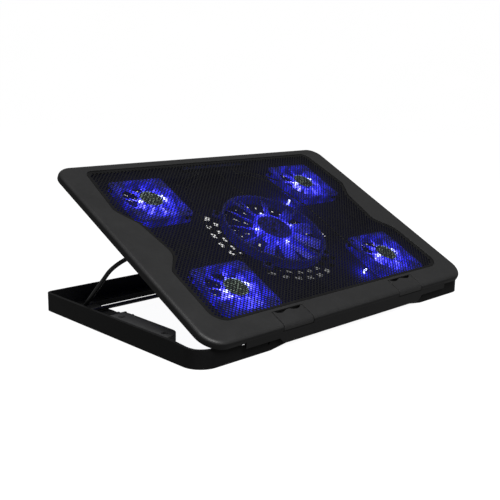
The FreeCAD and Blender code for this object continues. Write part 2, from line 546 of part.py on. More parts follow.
def flip(s):
    """Turns a rotor or motor over, about the fans' middle height."""
    s = s.copy(); s.rotate(V(0, 0, (FAN_TOP + FAN_BOT) / 2.0), V(1, 0, 0), 180); return s

def at(s, u, v):
    s = s.copy(); s.translate(V(u, v, 0)); return s

sf = small_frame()
sr = flip(rotor(ROTOR_R, HUB_R, 9, FAN_BOT + 1.9, FAN_TOP - 0.9))
cf = cyl(CF_R, FAN_TOP - FAN_BOT, V(0, 0, FAN_BOT)).cut(cyl(CF_OPEN_R, 12, V(0, 0, FAN_BOT - 1)))
ears = []
for k in range(4):
    e = box(CF_R - 2.2, CF_R + 7.6, -5, 5, FAN_BOT, FAN_BOT + 2.0).cut(cyl(1.9, 5, V(CF_R + 3.6, 0, FAN_BOT - 1)))
    e.rotate(V(0, 0, 0), V(0, 0, 1), 45 + 90 * k)
    ears.append(e)
chub = cyl(CF_DISC_R, 1.4, V(0, 0, FAN_TOP - 1.4)).cut(cyl(CF_DISC_R - 2.0, 1.0, V(0, 0, FAN_TOP - 0.3)))
carms = []
for k in range(4):
    a = box(CF_DISC_R - 1.5, CF_OPEN_R + 0.6, -1.8, 1.8, FAN_TOP - 1.4, FAN_TOP)
    a.rotate(V(0, 0, 0), V(0, 0, 1), 20 + 90 * k)
    carms.append(a)
cf = one([cf, chub] + ears + carms)
cr = flip(rotor(CF_ROTOR_R, CF_HUB_R, 11, FAN_BOT + 1.9, FAN_TOP - 0.9))

fan_pos = {"rear_left": (-FAN_U, FAN_V_REAR), "rear_right": (FAN_U, FAN_V_REAR),
           "front_left": (-FAN_U, FAN_V_FRONT), "front_right": (FAN_U, FAN_V_FRONT)}
motors = []
def motor(r):
    m = cyl(r, 3.6, V(0, 0, FAN_BOT + 1.4)).fuse(cyl(2.6, 5.0, V(0, 0, FAN_BOT + 1.4)))
    m = m.cut(cyl(1.55, 9, V(0, 0, FAN_BOT + 1.85)))
    for k in range(4):
        n = box(r * 0.55, r + 1, -0.8, 0.8, FAN_BOT + 2.6, FAN_BOT + 9)
        n.rotate(V(0, 0, 0), V(0, 0, 1), 90 * k + 45)
        m = m.cut(n)
    return m
for nm, (u, v) in fan_pos.items():
    save("fan_frame_" + nm, tray(at(sf, u, v)))
    save("fan_rotor_" + nm, tray(at(sr, u, v)))
    motors.append(at(flip(motor(HUB_R - 2.6)), u, v))
save("fan_frame_centre", tray(at(cf, 0, CF_V)))
save("fan_rotor_centre", tray(at(cr, 0, CF_V)))
motors.append(at(flip(motor(CF_HUB_R - 3.0)), 0, CF_V))
save("fan_motors", tray(group(motors)))

# lamps: flat LEDs round the hub discs, pointing outwards, and two upright ones beside
# the right-hand fans
leds = []
def led(u, v, z0, h, r):
    s = cyl(r, h, V(u, v, z0))
    e = [x for x in s.Edges if abs(x.BoundBox.ZMin - z0 - h) < 1e-6 and abs(x.BoundBox.ZMax - z0 - h) < 1e-6]
    return s.makeFillet(r * 0.8, e)
def flat_led(u, v, r0, ang):
    s = box(r0, r0 + 2.0, -1.2, 1.2, FAN_TOP - 1.35, FAN_TOP - 0.05)
    s = s.fuse(cyl(1.2, 1.3, V(r0 + 2.0, 0, FAN_TOP - 1.35))).removeSplitter()
    s.rotate(V(0, 0, 0), V(0, 0, 1), ang)
    s.translate(V(u, v, 0))
    return s
for nm, (u, v) in fan_pos.items():
    for ang in (8, 188):
        leds.append(flat_led(u, v, HUB_DISC_R + 0.05, ang))
for ang in (-4, 86, 176, 266):
    leds.append(flat_led(0, CF_V, CF_DISC_R + 0.05, ang))
leds.append(led(66.0, 166.0, -12.9, 6.4, 1.3))
leds.append(led(66.0, 40.0, -12.9, 6.4, 1.3))
save("led_lamps", tray(group(leds)))

# fan screws holding the frames down to the bottom cover
fs = []
for nm, (u, v) in fan_pos.items():
    for sx, sy in ((-1, 1), (1, -1)):
        x, y = u + sx * 28.0, v + sy * 28.0
        s_ = cyl(1.7, 9.8, V(x, y, FAN_BOT + 0.0))
        fs.append(s_.cut(box(x - 1.2, x + 1.2, y - 0.25, y + 0.25, FAN_TOP - 0.7, FAN_TOP + 1)))
for k in range(4):
    a = math.radians(45 + 90 * k)
    x, y = (CF_R + 3.6) * math.cos(a), CF_V + (CF_R + 3.6) * math.sin(a)
    s_ = cyl(1.7, 2.0, V(x, y, FAN_BOT)).fuse(cyl(2.8, 1.0, V(x, y, FAN_BOT + 2.0)))
    fs.append(s_.cut(box(x - 2.0, x + 2.0, y - 0.25, y + 0.25, FAN_BOT + 2.5, FAN_BOT + 4)))
save("fan_screws", tray(group(fs)))

# ------------------------------------------------------ control board, ports
board = box(-39.5, 49.5, PAN_V1 + 8.0, V_REAR - g - 1.8, -4.0, -2.6)
board = board.cut(cyl(1.2, 4, V(-37.0, PAN_V1 + 10.5, -5))).cut(cyl(1.2, 4, V(47.0, PAN_V1 + 10.5, -5)))
chips = [box(-14.0, -9.0, PAN_V1 + 10.0, PAN_V1 + 14.0, -5.2, -4.0), box(10, 13, PAN_V1 + 9.5, PAN_V1 + 11.5, -4.8, -4.0)]
save("control_board", tray(one([board] + chips)))

def usb(u):
    v1 = V_REAR - 0.4
    s = box(u - 6.5, u + 6.5, v1 - 14.0, v1, -10.2, -4.6 + 0.6)
    s = s.cut(box(u - 6.1, u + 6.1, v1 - 9.4, v1 + 1, -9.8, -4.4))
    s = s.fuse(box(u - 5.6, u + 5.6, v1 - 9.6, v1 - 1.0, -6.4, -4.4 - 0.0))
    return s.removeSplitter()
save("usb_sockets", tray(group([usb(-26.5), usb(-0.5)])))

# slide switches: body on the board, knob through the rear wall
sw_bodies = []
for u in (23.0, 41.0):
    b = box(u - 6.0, u + 6.0, V_REAR - 10.2, V_REAR - 4.2, -9.2, -4.0)
    b = b.cut(box(u - 4.6, u + 4.6, V_REAR - 8.2, V_REAR - 3.0, -8.0, -5.2))
    sw_bodies.append(b)
save("switch_bodies", tray(group(sw_bodies)))
for nm, u in (("corner_fans_switch_knob", 23.0), ("centre_fan_switch_knob", 41.0)):
    k = box(u - 4.2, u - 0.2, V_REAR - 7.8, V_REAR - 4.6, -7.6, -5.6)
    k = k.fuse(box(u - 4.2, u - 0.2, V_REAR - 7.0, V_REAR + 1.6, -7.6, -5.6))
    save(nm, tray(k.removeSplitter()))

# fan leads: thin twin wires from each fan to the board, under the deck
leads = []
zc = -4.4
def lead(pts):
    leads.append(bent_rod([V(x, y, zc) for x, y in pts], 4.0, 0.7))
lead([(-78.6, 200), (-70, 207), (-50, 219), (-31, 224), (-31, 234)])
lead([(78.6, 200), (70, 207), (50, 219), (34, 224), (34, 234)])
lead([(-78.6, 62), (-75.4, 96), (-76.6, 150), (-62, 203), (-25, 221), (-25, 234)])
lead([(78.6, 62), (75.4, 96), (76.6, 150), (62, 203), (28, 221), (28, 234)])
lead([(8, 180.6), (4, 205), (3, 234)])
save("fan_leads", tray(group(leads)))

# ------------------------------------------------------------------ stoppers
WAVE_HW = 17.0
def stopper(u0, u1):
    body = cyl(RIDGE_R, u1 - u0, V(u0, ST_V, ST_W), V(1, 0, 0))
    flap = box(u0, u1, ST_V, ST_BACK, -2.5, 0)
    s = body.fuse(flap)
    # thumb notch: a wavy cut in the free edge
    n = 24
    c = (u0 + u1) / 2.0
    pts = []
    for i in range(n + 1):
        t = i / float(n)
        u = c - WAVE_HW + 2 * WAVE_HW * t
        d = 2.3 + 1.7 * math.sin(2 * math.pi * t * 1.5)
        d *= math.sin(math.pi * min(1.0, max(0.0, t))) ** 0.35
        pts.append(V(u, ST_BACK - d, -5))
    pts = [V(c - WAVE_HW, ST_BACK + 2, -5)] + pts + [V(c + WAVE_HW, ST_BACK + 2, -5), V(c - WAVE_HW, ST_BACK + 2, -5)]
    w = Part.makePolygon(pts)
    s = s.cut(Part.Face(w).extrude(V(0, 0, 8)))
    s = s.cut(cyl(ST_PIN_R + 0.05, u1 - u0 + 2, V(u0 - 1, ST_V, ST_W), V(1, 0, 0)))
    return s.removeSplitter()
save("stopper_left", tray(stopper(-ST_U1, -ST_U0)))
save("stopper_right", tray(stopper(ST_U0, ST_U1)))
sp = []
for u0 in (-ST_U1, ST_U0):
    sp.append(cyl(ST_PIN_R, (ST_U1 - ST_U0) + 2 * ST_SIDE + 3.0, V(u0 - ST_SIDE - 1.5, ST_V, ST_W), V(1, 0, 0)))
save("stopper_pins", tray(group(sp)))

# ----------------------------------------------------------------- wire prop
py, pz = t2w(PROP_V, PROP_W)
P0 = V(0, py, pz); F0 = V(0, FOOT_Y, FOOT_Z)
L = (F0 - P0).Length
d = (F0 - P0); d.normalize()
def wp(x, s):
    return V(x, 0, 0) + P0 + d * s
END_X = 152.2
prop = bent_rod([wp(-END_X, 0), wp(-ARM_X, 0), wp(-ARM_X, L), wp(ARM_X, L), wp(ARM_X, 0), wp(END_X, 0)],
                [BEND_TOP_R, BEND_R, BEND_R, BEND_TOP_R], WIRE_R)
save("wire_prop", prop)
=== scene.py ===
import json
import math
import bpy
import bmesh
from mathutils import Vector, Matrix


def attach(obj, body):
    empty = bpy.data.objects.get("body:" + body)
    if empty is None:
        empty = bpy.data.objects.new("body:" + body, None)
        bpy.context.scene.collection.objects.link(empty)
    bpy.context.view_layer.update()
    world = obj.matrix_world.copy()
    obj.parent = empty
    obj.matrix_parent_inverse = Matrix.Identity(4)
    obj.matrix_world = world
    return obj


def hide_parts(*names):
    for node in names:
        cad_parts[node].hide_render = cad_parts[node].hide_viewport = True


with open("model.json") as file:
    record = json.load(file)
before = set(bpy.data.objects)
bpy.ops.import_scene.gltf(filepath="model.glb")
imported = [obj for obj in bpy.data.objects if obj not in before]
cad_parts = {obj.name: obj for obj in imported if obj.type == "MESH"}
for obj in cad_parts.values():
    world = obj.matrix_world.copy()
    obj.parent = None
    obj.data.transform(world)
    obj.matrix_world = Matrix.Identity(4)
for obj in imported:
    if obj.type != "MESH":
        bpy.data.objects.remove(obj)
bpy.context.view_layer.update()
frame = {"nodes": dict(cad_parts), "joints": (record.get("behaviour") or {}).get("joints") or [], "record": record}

N = frame["nodes"]
REC = frame["record"]
scene = bpy.context.scene
COL = scene.collection

# ------------------------------------------------------------ tray's own frame
JOINTS = {j["name"]: j for j in frame["joints"]}
AX = Vector(JOINTS["centre_fan_spin"]["axis"]).normalized()      # normal of the deck
TILT = math.atan2(-AX.y, AX.z)
DECK = [m for m in REC["mounts"] if m["name"] == "laptop_deck"][0]["pos_m"]
UP = Vector((0.0, -math.sin(TILT), math.cos(TILT)))
BACK = Vector((0.0, math.cos(TILT), math.sin(TILT)))
ORG = Vector(DECK) - BACK * 0.008                                 # deck's (0, 0, 0)

def T(u, v, w=0.0):
    """Point of the tray, u right, v back, w up from the deck, in millimetres."""
    return ORG + Vector((u / 1000.0, 0, 0)) + BACK * (v / 1000.0) + UP * (w / 1000.0)

def to_tray(p):
    d = Vector(p) - ORG
    return d.x * 1000.0, d.dot(BACK) * 1000.0, d.dot(UP) * 1000.0

# ------------------------------------------------------------------- materials
class NT:
    """Small helper round a material's node tree."""
    def __init__(self, name):
        self.m = bpy.data.materials.new(name)
        self.m.use_nodes = True
        self.t = self.m.node_tree
        self.t.nodes.clear()
        self.out = self.t.nodes.new("ShaderNodeOutputMaterial")
        self.b = self.t.nodes.new("ShaderNodeBsdfPrincipled")
        self.t.links.new(self.b.outputs[0], self.out.inputs[0])
        self.co = self.t.nodes.new("ShaderNodeTexCoord").outputs["Object"]

    def n(self, kind, **kw):
        x = self.t.nodes.new(kind)
        for k, v in kw.items():
            setattr(x, k, v)
        return x

    def link(self, a, b):
        self.t.links.new(a, b)

    def noise(self, scale, detail=3.0, rough=0.5, vec=None, dist=0.0):
        x = self.n("ShaderNodeTexNoise")
        x.inputs["Scale"].default_value = scale
        x.inputs["Detail"].default_value = detail
        x.inputs["Roughness"].default_value = rough
        x.inputs["Distortion"].default_value = dist
        self.link(vec or self.co, x.inputs["Vector"])
        return x.outputs["Fac"]

    def stretch(self, sx, sy, sz, rot=(0, 0, 0)):
        x = self.n("ShaderNodeMapping")
        x.inputs["Scale"].default_value = (sx, sy, sz)
        x.inputs["Rotation"].default_value = rot
        self.link(self.co, x.inputs["Vector"])
        return x.outputs["Vector"]

    def ramp(self, fac, stops):
        x = self.n("ShaderNodeValToRGB")
        while len(x.color_ramp.elements) < len(stops):
            x.color_ramp.elements.new(0.5)
        for e, (p, c) in zip(x.color_ramp.elements, stops):
            e.position = p
            e.color = tuple(c) + (1.0,) if len(c) == 3 else c
        self.link(fac, x.inputs[0])
        return x.outputs["Color"]

    def math(self, op, a, b=None, c=None, clamp=False):
        x = self.n("ShaderNodeMath", operation=op, use_clamp=clamp)
        for i, v in enumerate((a, b, c)):
            if v is None:
                continue
            if isinstance(v, (int, float)):
                x.inputs[i].default_value = v
            else:
                self.link(v, x.inputs[i])
        return x.outputs[0]

    def maprange(self, v, a, b, c, d):
        x = self.n("ShaderNodeMapRange")
        x.inputs["From Min"].default_value = a
        x.inputs["From Max"].default_value = b
        x.inputs["To Min"].default_value = c
        x.inputs["To Max"].default_value = d
        self.link(v, x.inputs["Value"])
        return x.outputs["Result"]

    def mix(self, fac, a, b, blend="MIX"):
        x = self.n("ShaderNodeMix", data_type="RGBA", blend_type=blend)
        for i, v in ((0, fac), (6, a), (7, b)):
            if isinstance(v, (int, float)):
                x.inputs[i].default_value = v
            elif isinstance(v, (tuple, list)):
                x.inputs[i].default_value = tuple(v) + (1.0,) if len(v) == 3 else v
            else:
                self.link(v, x.inputs[i])
        return x.outputs[2]

    def bump(self, height, strength, dist, normal=None):
        x = self.n("ShaderNodeBump")
        x.inputs["Strength"].default_value = strength
        x.inputs["Distance"].default_value = dist
        self.link(height, x.inputs["Height"])
        if normal is not None:
            self.link(normal, x.inputs["Normal"])
        return x.outputs["Normal"]

def edges(nt, radius):
    """How near a surface point is to an outer edge, 0 to 1, and its rounded normal."""
    bev = nt.n("ShaderNodeBevel", samples=4)
    bev.inputs["Radius"].default_value = radius
    geo = nt.n("ShaderNodeNewGeometry")
    dot = nt.n("ShaderNodeVectorMath", operation="DOT_PRODUCT")
    nt.link(bev.outputs[0], dot.inputs[0])
    nt.link(geo.outputs["Normal"], dot.inputs[1])
    f = nt.maprange(dot.outputs["Value"], 0.995, 0.80, 0.0, 1.0)
    return f, bev.outputs[0]

def plastic(name, base, rough=0.5, grain=2600.0, gbump=0.25, blotch=0.25, spec=0.5,
            edge=0.0005, edge_lift=1.7, coat=0.0, painted_side_shade=None, halo=None):
    nt = NT(name)
    g1 = nt.noise(grain, 2.0, 0.6)
    g2 = nt.noise(grain * 0.33, 3.0, 0.6)
    g3 = nt.noise(38.0, 4.0, 0.55)
    g4 = nt.noise(260.0, 3.0, 0.6)
    lo = tuple(c * (1.0 - blotch) for c in base)
    hi = tuple(min(1.0, c * (1.0 + blotch)) for c in base)
    col = nt.ramp(nt.math("MULTIPLY_ADD", g3, 0.55, nt.math("MULTIPLY", g4, 0.45)), [(0.34, lo), (0.68, hi)])
    if edge:
        f, rn = edges(nt, edge)
        wear = nt.math("MULTIPLY", f, nt.maprange(nt.noise(420.0, 4.0, 0.7), 0.42, 0.7, 0.15, 1.0), clamp=True)
        col = nt.mix(nt.math("MULTIPLY", wear, 0.55), col, tuple(min(1, c * (1 + edge_lift) + 0.01) for c in base))
    else:
        rn = None
    if painted_side_shade:
        # painted shade: below a level just under the deck's rolled edge the colour turns a darker black, standing in
        # for the shade the sides lie in
        level, dark = painted_side_shade
        off = nt.n("ShaderNodeVectorMath", operation="SUBTRACT")
        nt.link(nt.co, off.inputs[0]); off.inputs[1].default_value = tuple(ORG)
        h = nt.n("ShaderNodeVectorMath", operation="DOT_PRODUCT")
        nt.link(off.outputs[0], h.inputs[0]); h.inputs[1].default_value = tuple(UP)
        side_shade_mask = nt.maprange(h.outputs["Value"], level - 0.0006, level + 0.0004, 1.0, 0.0)
        col = nt.mix(side_shade_mask, col, dark)
    if halo:
        # light that the lamps throw on this piece
        total = None
        for p in halo:
            x = nt.n("ShaderNodeVectorMath", operation="DISTANCE")
            nt.link(nt.co, x.inputs[0]); x.inputs[1].default_value = tuple(p)
            x = nt.math("DIVIDE", 1.0, nt.math("ADD", nt.math("POWER", nt.math("DIVIDE", x.outputs["Value"], 0.0085), 2.8), 0.25))
            total = x if total is None else nt.math("ADD", total, x)
        total = nt.math("MULTIPLY", total, nt.maprange(g3, 0.3, 0.7, 0.5, 1.3))
        nt.b.inputs["Emission Color"].default_value = (0.02, 0.022, 1.0, 1.0)
        nt.link(nt.math("MULTIPLY", total, 0.75), nt.b.inputs["Emission Strength"])
    nt.link(col, nt.b.inputs["Base Color"])
    r = nt.maprange(nt.math("MULTIPLY_ADD", g3, 0.6, nt.math("MULTIPLY", g2, 0.4)), 0.3, 0.7, rough - 0.06, rough + 0.08)
    nt.link(r, nt.b.inputs["Roughness"])
    h = nt.math("MULTIPLY_ADD", g1, 0.7, nt.math("MULTIPLY", g2, 0.5))
    nt.link(nt.bump(h, gbump, 0.00006, rn), nt.b.inputs["Normal"])
    nt.b.inputs["Specular IOR Level"].default_value = spec
    nt.b.inputs["IOR"].default_value = 1.5
    if coat:
        nt.b.inputs["Coat Weight"].default_value = coat
        nt.b.inputs["Coat Roughness"].default_value = 0.3
    return nt.m

def steel(name, base=(0.5, 0.5, 0.51), rough=0.3, metal=1.0, brush=(1, 40, 40)):
    nt = NT(name)
    s = nt.noise(900.0, 3.0, 0.6, nt.stretch(*brush))
    g = nt.noise(60.0, 4.0, 0.6)
    col = nt.ramp(nt.math("MULTIPLY_ADD", s, 0.5, nt.math("MULTIPLY", g, 0.5)),
                  [(0.3, tuple(c * 0.7 for c in base)), (0.7, tuple(min(1, c * 1.15) for c in base))])
    nt.link(col, nt.b.inputs["Base Color"])
    nt.b.inputs["Metallic"].default_value = metal
    nt.link(nt.maprange(s, 0.3, 0.7, rough - 0.06, rough + 0.12), nt.b.inputs["Roughness"])
    f, rn = edges(nt, 0.00018)
    nt.link(nt.bump(s, 0.15, 0.00004, rn), nt.b.inputs["Normal"])
    return nt.m

def put(name, mat):
    o = N[name]
    if not o.data.materials:
        o.data.materials.append(mat)
    for i in range(len(o.data.materials)):
        o.data.materials[i] = mat
    for s in o.material_slots:
        s.material = mat

# lamps: centres of the LED bodies, read from their node
def islands(obj):
    bm = bmesh.new(); bm.from_mesh(obj.data)
    bmesh.ops.remove_doubles(bm, verts=bm.verts, dist=1e-6)
    seen, out = set(), []
    for v in bm.verts:
        if v.index in seen:
            continue
        stack, pts = [v], []
        seen.add(v.index)
        while stack:
            a = stack.pop(); pts.append(a.co.copy())
            for e in a.link_edges:
                b = e.other_vert(a)
                if b.index not in seen:
                    seen.add(b.index); stack.append(b)
        lo = Vector((min(p.x for p in pts), min(p.y for p in pts), min(p.z for p in pts)))
        hi = Vector((max(p.x for p in pts), max(p.y for p in pts), max(p.z for p in pts)))
        out.append((lo + hi) / 2)
    bm.free()
    return out
LEDS = islands(N["led_lamps"])

def glow(name, centre, reach, leds, base, rough=0.35, strength=1.0, dim=0.12, power=1.6, hub=None,
         streak=(9, 60.0, 0.5), rim=0.0):
    """Tinted clear plastic lit from inside: light falls off from the hub and from each lamp."""
    nt = NT(name)
    geo = nt.n("ShaderNodeNewGeometry").outputs["Position"]
    def dist(p):
        x = nt.n("ShaderNodeVectorMath", operation="DISTANCE")
        nt.link(nt.co, x.inputs[0]); x.inputs[1].default_value = tuple(p)
        return x.outputs["Value"]
    d = dist(centre)
    body = nt.maprange(d, 0.0, reach, 1.0, 0.0)
    body = nt.math("POWER", nt.math("MAXIMUM", body, 0.0), power)
    cloud = nt.maprange(nt.noise(110.0, 4.0, 0.65), 0.34, 0.68, 0.22, 1.5)
    # blades and moulded ribs carry the light outwards in curved streaks
    off = nt.n("ShaderNodeVectorMath", operation="SUBTRACT")
    nt.link(nt.co, off.inputs[0]); off.inputs[1].default_value = tuple(centre)
    def along(axis):
        x = nt.n("ShaderNodeVectorMath", operation="DOT_PRODUCT")
        nt.link(off.outputs[0], x.inputs[0]); x.inputs[1].default_value = tuple(axis)
        return x.outputs["Value"]
    theta = nt.math("ARCTAN2", along(BACK), along(Vector((1, 0, 0))))
    n, twist, amount = streak
    wave = nt.math("SINE", nt.math("ADD", nt.math("MULTIPLY_ADD", theta, float(n), nt.math("MULTIPLY", d, twist * 10.0)),
                                   nt.math("MULTIPLY", nt.noise(70.0, 2.0, 0.5), 5.0)))
    streaks = nt.math("MULTIPLY_ADD", wave, amount, 1.0)
    total = nt.math("MULTIPLY", nt.math("MULTIPLY", nt.math("MULTIPLY", body, cloud), streaks), strength)
    rn = None
    # painted highlight: emission added along the rounded edges of the clear plastic, where they would catch the light
    if rim:
        f, rn = edges(nt, 0.0007)
        total = nt.math("ADD", total, nt.math("MULTIPLY", nt.math("MULTIPLY", f, rim), nt.math("ADD", body, 0.25)))
    for p, k, r in leds:
        x = nt.math("DIVIDE", dist(p), r)
        x = nt.math("DIVIDE", k, nt.math("ADD", nt.math("POWER", x, 2.6), 0.22))
        total = nt.math("ADD", total, x)
    total = nt.math("ADD", total, dim)
    label = None
    if hub:
        # the disc over the hub: a speckled label on the small fans, a dark cap with a lit ring on the big one
        kind, r_in, r_out = hub
        edge_in = nt.maprange(d, r_in - 0.0004, r_in + 0.0004, 1.0, 0.0)
        if kind == "label":
            speck = nt.math("GREATER_THAN", nt.noise(520.0, 2.0, 0.6), 0.54)
            label = (edge_in, nt.mix(speck, (0.020, 0.028, 0.034), (0.20, 0.24, 0.19)))
            lit = nt.math("MULTIPLY_ADD", speck, 0.16, 0.05)
        else:
            label = (edge_in, nt.ramp(nt.noise(160.0, 4.0, 0.6), [(0.3, (0.006, 0.006, 0.012)), (0.7, (0.03, 0.03, 0.05))]))
            lit = nt.maprange(nt.noise(160.0, 3.0, 0.6), 0.35, 0.7, 0.05, 0.5)
            ring = nt.math("MULTIPLY", nt.maprange(d, r_in, r_in + 0.0008, 0.0, 1.0), nt.maprange(d, r_out - 0.0008, r_out, 1.0, 0.0))
            total = nt.math("MULTIPLY_ADD", ring, 1.1, total)
        total = nt.math("ADD", nt.math("MULTIPLY", total, nt.math("SUBTRACT", 1.0, edge_in)), nt.math("MULTIPLY", edge_in, lit))
    col = nt.ramp(nt.math("DIVIDE", total, 9.0, clamp=True),
                  [(0.0, (0.012, 0.014, 0.80)), (0.30, (0.030, 0.028, 1.0)), (0.62, (0.14, 0.13, 1.0)), (1.0, (0.70, 0.74, 1.0))])
    if label and hub[0] == "label":
        col = nt.mix(label[0], col, (0.55, 0.75, 0.60))
    nt.link(col, nt.b.inputs["Emission Color"])
    nt.link(total, nt.b.inputs["Emission Strength"])
    g = nt.noise(700.0, 3.0, 0.6)
    c2 = nt.ramp(nt.noise(50.0, 3.0, 0.5), [(0.3, tuple(c * 0.8 for c in base)), (0.7, base)])
    if label:
        c2 = nt.mix(label[0], c2, label[1])
    nt.link(c2, nt.b.inputs["Base Color"])
    nt.link(nt.maprange(g, 0.3, 0.7, rough - 0.06, rough + 0.08), nt.b.inputs["Roughness"])
    nt.link(nt.bump(g, 0.12, 0.00005, rn), nt.b.inputs["Normal"])
    return nt.m

M = {}
# the deck's sides below the rolled edge get painted shade: a darker colour below a level under the deck
M["deck"] = plastic("deck_plastic", (0.023, 0.023, 0.0235), rough=0.40, grain=3000, gbump=0.18, blotch=0.14, spec=0.34, edge=0.0006,
                    painted_side_shade=(-0.0017, (0.0062, 0.0062, 0.0066)))
M["stopper"] = plastic("stopper_plastic", (0.022, 0.022, 0.0225), rough=0.40, grain=3000, gbump=0.18, blotch=0.14, spec=0.34, edge=0.0004)
M["under"] = plastic("under_plastic", (0.007, 0.007, 0.0074), rough=0.55, grain=2200, gbump=0.3, blotch=0.2, spec=0.12)
M["pan"] = plastic("pan_plastic", (0.007, 0.007, 0.0074), rough=0.55, grain=2200, gbump=0.3, blotch=0.2, spec=0.12, halo=LEDS)
M["base"] = plastic("base_plastic", (0.0075, 0.0075, 0.0078), rough=0.48, grain=2400, gbump=0.28, blotch=0.2, spec=0.14, edge=0.0005, edge_lift=1.4)
M["rest"] = plastic("rest_plate_plastic", (0.052, 0.052, 0.053), rough=0.52, grain=2400, gbump=0.25, blotch=0.12, spec=0.25, edge=0.0006)
M["foot"] = plastic("foot_rubber", (0.010, 0.010, 0.010), rough=0.8, grain=1600, gbump=0.5, blotch=0.3, spec=0.2, edge=0)
M["knob"] = plastic("knob_plastic", (0.02, 0.02, 0.02), rough=0.45, spec=0.3, edge=0.0003)
M["mesh"] = plastic("mesh_metal", (0.0085, 0.0085, 0.009), rough=0.45, grain=1800, gbump=0.2, blotch=0.25, spec=0.16, edge=0)
M["prop"] = plastic("prop_steel", (0.010, 0.010, 0.0105), rough=0.34, grain=1500, gbump=0.15, blotch=0.2, spec=0.3, edge=0, coat=0.15)
M["screw"] = steel("screw_steel", (0.035, 0.035, 0.037), 0.42)
M["pin"] = steel("pin_steel", (0.5, 0.5, 0.51), 0.28)
M["socket"] = steel("socket_steel", (0.55, 0.55, 0.56), 0.3)
M["copper"] = steel("motor_copper", (0.5, 0.22, 0.09), 0.35, brush=(1, 1, 30))
M["board"] = plastic("board_laminate", (0.010, 0.013, 0.055), rough=0.35, grain=900, gbump=0.3, blotch=0.35, edge=0)
M["lead"] = plastic("lead_insulation", (0.03, 0.03, 0.036), rough=0.4, grain=900, gbump=0.1, blotch=0.1, edge=0)

PLAIN = {
    "base_frame": "base", "side_rest_plates": "rest", "rest_plate_screws": "screw", "rubber_feet": "foot",
    "hinge_pins": "pin", "top_cover": "deck", "mesh_panel": "mesh", "bottom_cover": "pan", "cover_screws": "screw",
    "fan_screws": "screw", "fan_motors": "copper", "control_board": "board", "usb_sockets": "socket",
    "switch_bodies": "socket", "corner_fans_switch_knob": "knob", "centre_fan_switch_knob": "knob",
    "fan_leads": "lead", "stopper_left": "stopper", "stopper_right": "stopper", "stopper_pins": "pin", "wire_prop": "prop"}
for node, key in PLAIN.items():
    put(node, M[key])

nt = NT("led_lens")
g = nt.noise(1400.0, 2.0, 0.5)
nt.link(nt.ramp(g, [(0.3, (0.30, 0.33, 1.0)), (0.7, (0.6, 0.65, 1.0))]), nt.b.inputs["Emission Color"])
nt.link(nt.maprange(g, 0.3, 0.7, 3.6, 5.6), nt.b.inputs["Emission Strength"])
nt.b.inputs["Base Color"].default_value = (0.5, 0.6, 0.9, 1)
put("led_lamps", nt.m)

FANS = ("rear_left", "rear_right", "front_left", "front_right", "centre")
CLEAR = (0.035, 0.04, 0.075)
for f in FANS:
    c = Vector(JOINTS[f + "_fan_spin"]["pos_m"])
    big = f == "centre"
    near = [p for p in LEDS if (p - c).length < (0.040 if big else 0.065)]
    lamps = [(p, 1.0 if big else 1.5, 0.0060) for p in near]
    if big:
        put("fan_frame_centre", glow("fan_frame_centre", c, 0.076, lamps, CLEAR, strength=1.7, dim=0.02, power=1.8,
                                     hub=("cap", 0.0192, 0.0232), streak=(4, 20.0, 0.35), rim=0.7))
        put("fan_rotor_centre", glow("fan_rotor_centre", c, 0.070, lamps, (0.07, 0.075, 0.10), strength=4.4, dim=0.04, power=1.9,
                                     streak=(11, 14.0, 0.45), rim=0.5))
    else:
        put("fan_frame_" + f, glow("fan_frame_" + f, c, 0.054, lamps, CLEAR, strength=3.6, dim=0.05, power=1.9,
                                   hub=("label", 0.0126, 0.0), streak=(8, 30.0, 0.7), rim=1.2))
        put("fan_rotor_" + f, glow("fan_rotor_" + f, c, 0.052, lamps, (0.06, 0.065, 0.10), strength=5.0, dim=0.10, power=1.5,
                                   streak=(9, 26.0, 0.55), rim=0.8))

# --------------------------------------------------------- fine deck mesh sheet
def sheet_outline(node, depth):
    """Outer boundary of a flat node's face at one depth under the deck, in the tray's frame."""
    me = N[node].data
    flat = [to_tray(v.co) for v in me.vertices]
    ids, pts, key = {}, [], {}
    for i, (a, b, c) in enumerate(flat):
        if abs(c - depth) < 0.05:
            k = (round(a, 2), round(b, 2))
            if k not in key:
                key[k] = len(pts); pts.append((a, b))
            ids[i] = key[k]
    count = {}
    for p in me.polygons:
        vs = list(p.vertices)
        if all(v in ids for v in vs):
            for k in range(len(vs)):
                a, b = ids[vs[k]], ids[vs[(k + 1) % len(vs)]]
                if a != b:
                    count[(min(a, b), max(a, b))] = count.get((min(a, b), max(a, b)), 0) + 1
    nxt = {}
    for (a, b), k in count.items():
        if k == 1:
            nxt.setdefault(a, []).append(b); nxt.setdefault(b, []).append(a)
    start = max(nxt, key=lambda i: pts[i][0] * 1.0 + pts[i][1] * 1e-3)
    loop, prev, cur = [start], None, start
    while True:
        step = [b for b in nxt[cur] if b != prev]
        if not step:
            break
        prev, cur = cur, step[0]
        if cur == start:
            break
        loop.append(cur)
    return [pts[i] for i in loop]

def shrink(loop, d):
    """The loop moved inwards by d."""
    area = sum(a[0] * b[1] - b[0] * a[1] for a, b in zip(loop, loop[1:] + loop[:1]))
    if area < 0:
        loop = loop[::-1]
    out = []
    for i, p in enumerate(loop):
        a, b = Vector(loop[i - 1]), Vector(loop[(i + 1) % len(loop)])
        p = Vector(p)
        e1, e2 = (p - a).normalized(), (b - p).normalized()
        n1, n2 = Vector((-e1.y, e1.x)), Vector((-e2.y, e2.x))
        m = (n1 + n2).normalized()
        out.append(tuple(p + m * (d / max(0.5, m.dot(n1)))))
    return out

